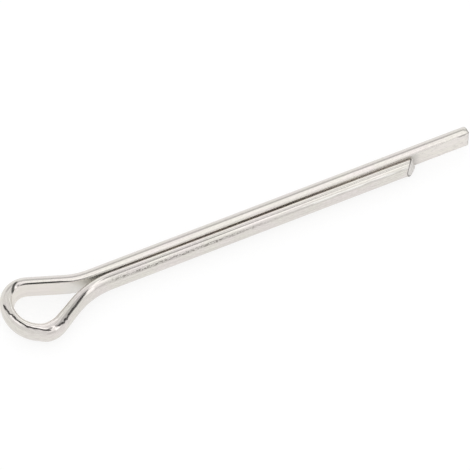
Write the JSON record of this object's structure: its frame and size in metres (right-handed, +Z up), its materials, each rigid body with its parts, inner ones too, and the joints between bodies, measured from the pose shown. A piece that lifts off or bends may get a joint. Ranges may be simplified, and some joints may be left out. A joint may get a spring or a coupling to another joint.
{
  "type": "cotter pin",
  "caption": "Extended-prong cotter pin of half-round bright zinc-plated steel wire, with a lopsided teardrop eye, a square-cut long leg and a slant-cut short leg.",
  "frame": {"origin": "on the shank's axis, where the short leg comes back onto it under the eye", "axes": "+X along the shank towards the tips, +Z up with the pin lying on its side, +Y out of the long leg's rounded back"},
  "size_m": [0.0565, 0.0084, 0.003],
  "materials": {
    "plated_wire": "bright zinc plate, with fine draw lines along the wire"
  },
  "bodies": {
    "root": {"cotter_pin": "plated_wire"}
  },
  "joints": []
}
